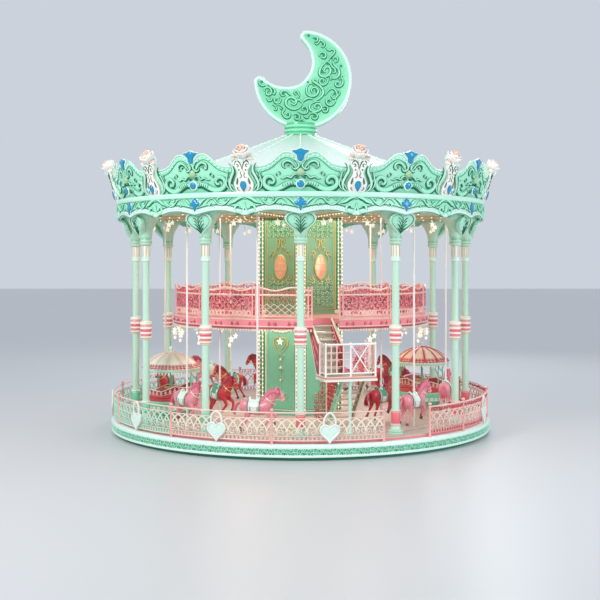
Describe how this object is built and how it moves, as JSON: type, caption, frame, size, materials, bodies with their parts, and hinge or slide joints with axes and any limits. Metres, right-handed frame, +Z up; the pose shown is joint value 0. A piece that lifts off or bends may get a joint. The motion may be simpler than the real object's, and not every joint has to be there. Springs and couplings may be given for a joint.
{
  "type": "carousel",
  "caption": "Two-deck fairground carousel: turning floor with galloping horses and tub carriages, a stair to the upper deck, fixed columns, scalloped canopy and a crescent moon.",
  "frame": {"origin": "on the ground at the centre of the base", "axes": "+Z up, -Y towards the side seen in the picture, where the stair is"},
  "size_m": [11.4878, 11.4878, 11.8507],
  "materials": {
    "dark_mint_paint": "satin paint",
    "bare_steel": "machined",
    "mint_paint": "gloss paint",
    "white_mint_fibreglass": "gloss gel coat",
    "mint_fibreglass": "gloss gel coat",
    "pale_pink_steel": "gloss paint",
    "pink_floor_panel": "textured paint",
    "teal_panel": "satin paint",
    "green_panel": "satin paint",
    "pink_paint": "gloss paint",
    "coral_paint": "gloss paint",
    "white_paint": "gloss paint",
    "coral_fibreglass": "gloss gel coat",
    "gold_paint": "metallic paint",
    "pink_fibreglass": "gloss gel coat",
    "red_fibreglass": "gloss gel coat"
  },
  "bodies": {
    "frame": {"base_plinth": "dark_mint_paint", "base_rim": "mint_paint", "centre_pin": "bare_steel", "column_01": "mint_paint", "column_02": "mint_paint", "column_03": "mint_paint", "column_04": "mint_paint", "column_05": "mint_paint", "column_06": "mint_paint", "column_07": "mint_paint", "column_08": "mint_paint", "column_09": "mint_paint", "column_10": "mint_paint", "column_11": "mint_paint", "column_12": "mint_paint", "cornice": "white_mint_fibreglass", "cresting": "white_mint_fibreglass", "fence_run_1": "pale_pink_steel", "fence_run_2": "pale_pink_steel", "fence_run_3": "pale_pink_steel", "fence_run_4": "pale_pink_steel", "fence_run_5": "pale_pink_steel", "fence_run_6": "pale_pink_steel", "moon": "mint_fibreglass", "moon_collar": "mint_fibreglass", "roof": "white_mint_fibreglass"},
    "turntable": {"carriage_canopy_1": "mint_fibreglass", "carriage_canopy_2": "mint_fibreglass", "carriage_tub_1": "coral_fibreglass", "carriage_tub_2": "coral_fibreglass", "crown_frame": "gold_paint", "deck_fascia": "pink_paint", "deck_floor": "pink_floor_panel", "deck_rail_1": "pink_paint", "deck_rail_2": "pink_paint", "deck_rail_3": "pink_paint", "deck_rail_4": "pink_paint", "deck_rail_5": "pink_paint", "deck_rail_6": "pink_paint", "deck_rail_7": "pink_paint", "drum_lower": "teal_panel", "drum_upper": "green_panel", "landing": "mint_paint", "landing_rail": "white_paint", "lower_flight": "mint_paint", "turning_floor": "pink_floor_panel", "upper_flight": "coral_paint"},
    "horse_1_body": {"horse_1": "pink_fibreglass"},
    "horse_2_body": {"horse_2": "pink_fibreglass"},
    "horse_3_body": {"horse_3": "pink_fibreglass"},
    "horse_4_body": {"horse_4": "pink_fibreglass"},
    "horse_5_body": {"horse_5": "red_fibreglass"},
    "horse_6_body": {"horse_6": "pink_fibreglass"},
    "horse_7_body": {"horse_7": "red_fibreglass"},
    "horse_8_body": {"horse_8": "pink_fibreglass"},
    "horse_9_body": {"horse_9": "red_fibreglass"},
    "horse_10_body": {"horse_10": "red_fibreglass"},
    "horse_11_body": {"horse_11": "red_fibreglass"},
    "horse_12_body": {"horse_12": "red_fibreglass"},
    "horse_13_body": {"horse_13": "red_fibreglass"}
  },
  "joints": [
    {"name": "turntable_spin", "type": "hinge", "parent": "frame", "child": "turntable", "pos_m": [0, 0, 0.4], "axis": [0, 0, 1], "continuous": true},
    {"name": "horse_1_slide", "type": "slide", "parent": "turntable", "child": "horse_1_body", "axis": [0, 0, 1], "range_m": [-0.084, 0.156]},
    {"name": "horse_2_slide", "type": "slide", "parent": "turntable", "child": "horse_2_body", "axis": [0, 0, 1], "range_m": [-0.024, 0.216]},
    {"name": "horse_3_slide", "type": "slide", "parent": "turntable", "child": "horse_3_body", "axis": [0, 0, 1], "range_m": [-0.036, 0.204]},
    {"name": "horse_4_slide", "type": "slide", "parent": "turntable", "child": "horse_4_body", "axis": [0, 0, 1], "range_m": [-0.144, 0.096]},
    {"name": "horse_5_slide", "type": "slide", "parent": "turntable", "child": "horse_5_body", "axis": [0, 0, 1], "range_m": [-0.204, 0.036]},
    {"name": "horse_6_slide", "type": "slide", "parent": "turntable", "child": "horse_6_body", "axis": [0, 0, 1], "range_m": [-0.072, 0.168]},
    {"name": "horse_7_slide", "type": "slide", "parent": "turntable", "child": "horse_7_body", "axis": [0, 0, 1], "range_m": [-0.168, 0.072]},
    {"name": "horse_8_slide", "type": "slide", "parent": "turntable", "child": "horse_8_body", "axis": [0, 0, 1], "range_m": [-0.24, 0]},
    {"name": "horse_9_slide", "type": "slide", "parent": "turntable", "child": "horse_9_body", "axis": [0, 0, 1], "range_m": [-0.12, 0.12]},
    {"name": "horse_10_slide", "type": "slide", "parent": "turntable", "child": "horse_10_body", "axis": [0, 0, 1], "range_m": [-0.144, 0.096]},
    {"name": "horse_11_slide", "type": "slide", "parent": "turntable", "child": "horse_11_body", "axis": [0, 0, 1], "range_m": [-0.072, 0.168]},
    {"name": "horse_12_slide", "type": "slide", "parent": "turntable", "child": "horse_12_body", "axis": [0, 0, 1], "range_m": [-0.216, 0.024]},
    {"name": "horse_13_slide", "type": "slide", "parent": "turntable", "child": "horse_13_body", "axis": [0, 0, 1], "range_m": [0, 0.24]}
  ]
}
